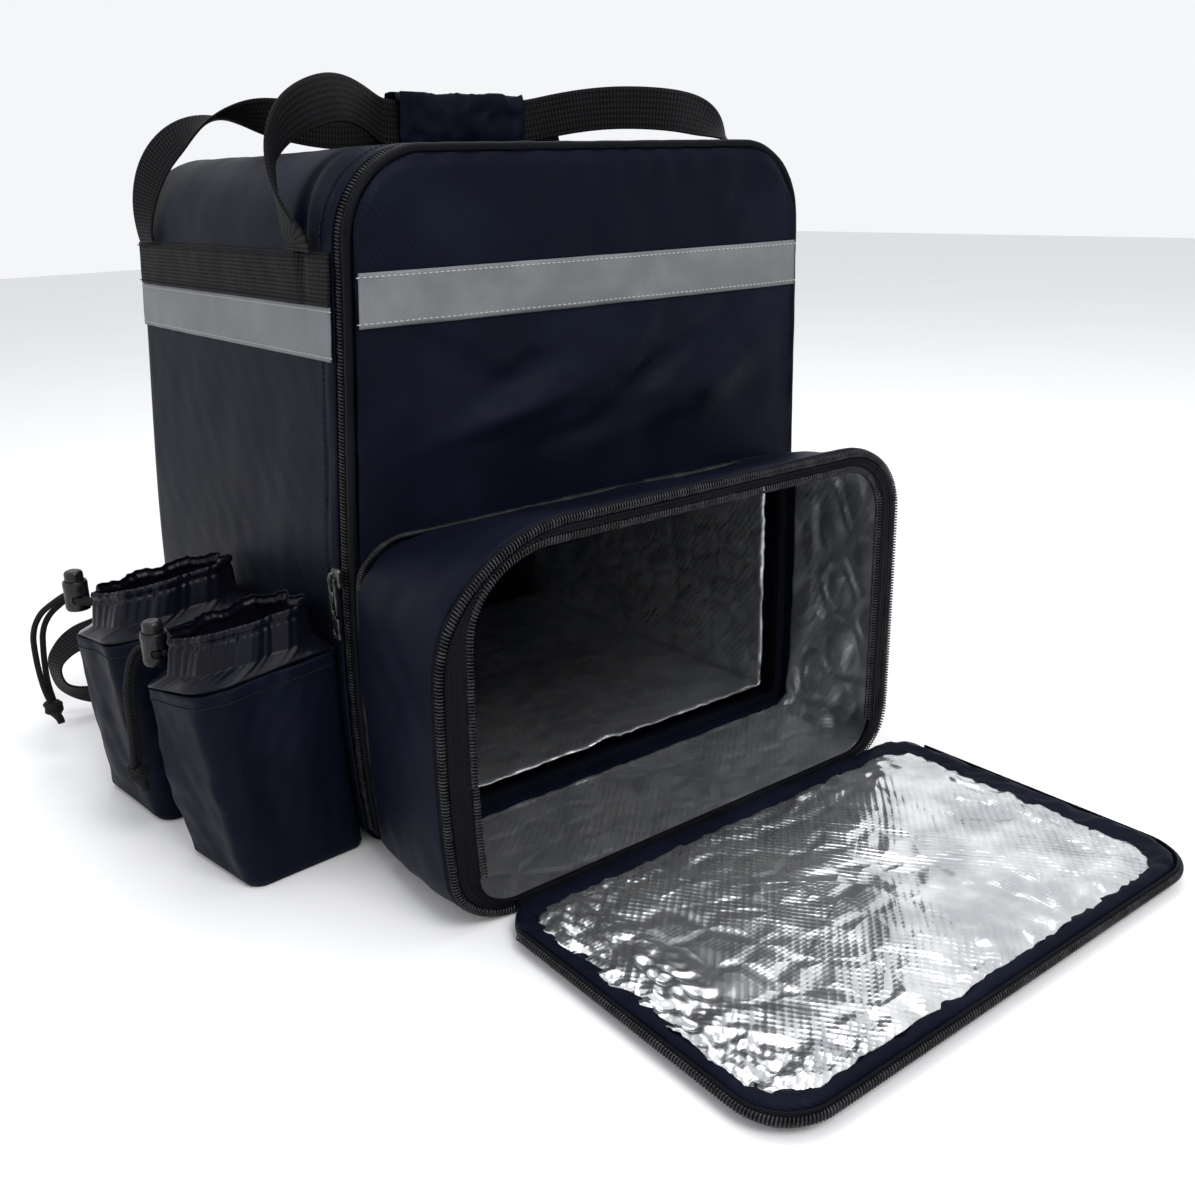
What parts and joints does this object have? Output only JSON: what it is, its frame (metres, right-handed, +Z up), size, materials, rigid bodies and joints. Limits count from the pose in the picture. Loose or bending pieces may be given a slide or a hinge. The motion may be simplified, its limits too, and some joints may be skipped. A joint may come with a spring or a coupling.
{
  "type": "insulated delivery backpack",
  "caption": "Box-shaped padded cloth backpack with a foil-lined lower front mouth and let-down flap, side drawcord cup pockets, webbing carry handles and shoulder straps.",
  "frame": {"origin": "centre of the main body's footprint, on its flat underside at z = 0, where the bag stands", "axes": "+Z up, -Y towards the front with the mouth and the flap let down on the floor, +X to the bag's right as seen from the front, so that the cup pockets are at -X"},
  "size_m": [0.5716, 0.7089, 0.4522],
  "materials": {
    "oxford_cloth": "matt dark navy twill oxford cloth with a soft sheen",
    "foil_lining": "bright metallised film, quilted and crinkled",
    "zipper_coil": "black nylon coil on woven tape",
    "collar_nylon": "thin black nylon with a slight shine",
    "drawcord": "black braided cord",
    "webbing": "black ribbed webbing",
    "reflective_tape": "grey reflective tape stitched along both edges",
    "lock_plastic": "dark grey moulded plastic",
    "zipper_metal": "dark gunmetal plating"
  },
  "bodies": {
    "bag": {"back_panel": "oxford_cloth", "base_zipper": "zipper_coil", "body_lining": "foil_lining", "body_shell": "oxford_cloth", "depth_zipper": "zipper_coil", "extension_lining": "foil_lining", "extension_shell": "oxford_cloth", "flap_foil": "foil_lining", "flap_hinge": "oxford_cloth", "flap_panel": "oxford_cloth", "flap_zipper": "zipper_coil", "front_collar": "collar_nylon", "front_cord_inner": "drawcord", "front_cord_outer": "drawcord", "front_cup_pocket": "oxford_cloth", "front_handle": "webbing", "front_knot": "drawcord", "front_lock_barrel": "lock_plastic", "front_panel": "oxford_cloth", "front_piping": "oxford_cloth", "front_reflective_strip": "reflective_tape", "handle_grip": "oxford_cloth", "left_ladder_lock": "lock_plastic", "left_reflective_strip": "reflective_tape", "left_shoulder_strap": "oxford_cloth", "left_side_webbing": "webbing", "left_strap_webbing": "webbing", "main_slider": "zipper_metal", "main_zipper": "zipper_coil", "mouth_rim": "oxford_cloth", "mouth_zipper": "zipper_coil", "rear_collar": "collar_nylon", "rear_cord_inner": "drawcord", "rear_cord_outer": "drawcord", "rear_cup_pocket": "oxford_cloth", "rear_handle": "webbing", "rear_knot": "drawcord", "rear_lock_barrel": "lock_plastic", "right_ladder_lock": "lock_plastic", "right_reflective_strip": "reflective_tape", "right_shoulder_strap": "oxford_cloth", "right_side_webbing": "webbing", "right_strap_webbing": "webbing"},
    "main_pull": {"pull_link": "zipper_metal"},
    "main_pull_tag": {"pull_tag": "zipper_metal"},
    "front_button": {"front_lock_button": "lock_plastic"},
    "rear_button": {"rear_lock_button": "lock_plastic"}
  },
  "joints": [
    {"name": "main_pull_swing", "type": "hinge", "parent": "bag", "child": "main_pull", "pos_m": [-0.18781, -0.1506, 0.1765], "axis": [0, 1, 0], "range_deg": [0, 140]},
    {"name": "main_pull_tag_swing", "type": "hinge", "parent": "main_pull", "child": "main_pull_tag", "pos_m": [-0.18781, -0.1506, 0.1565], "axis": [0, 1, 0], "range_deg": [0, 75]},
    {"name": "front_lock_press", "type": "slide", "parent": "bag", "child": "front_button", "axis": [0, 0, -1], "range_m": [0, 0.0025], "stiffness_N_per_m": 900, "springref_m": -0.002},
    {"name": "rear_lock_press", "type": "slide", "parent": "bag", "child": "rear_button", "axis": [0, 0, -1], "range_m": [0, 0.0025], "stiffness_N_per_m": 900, "springref_m": -0.002}
  ]
}
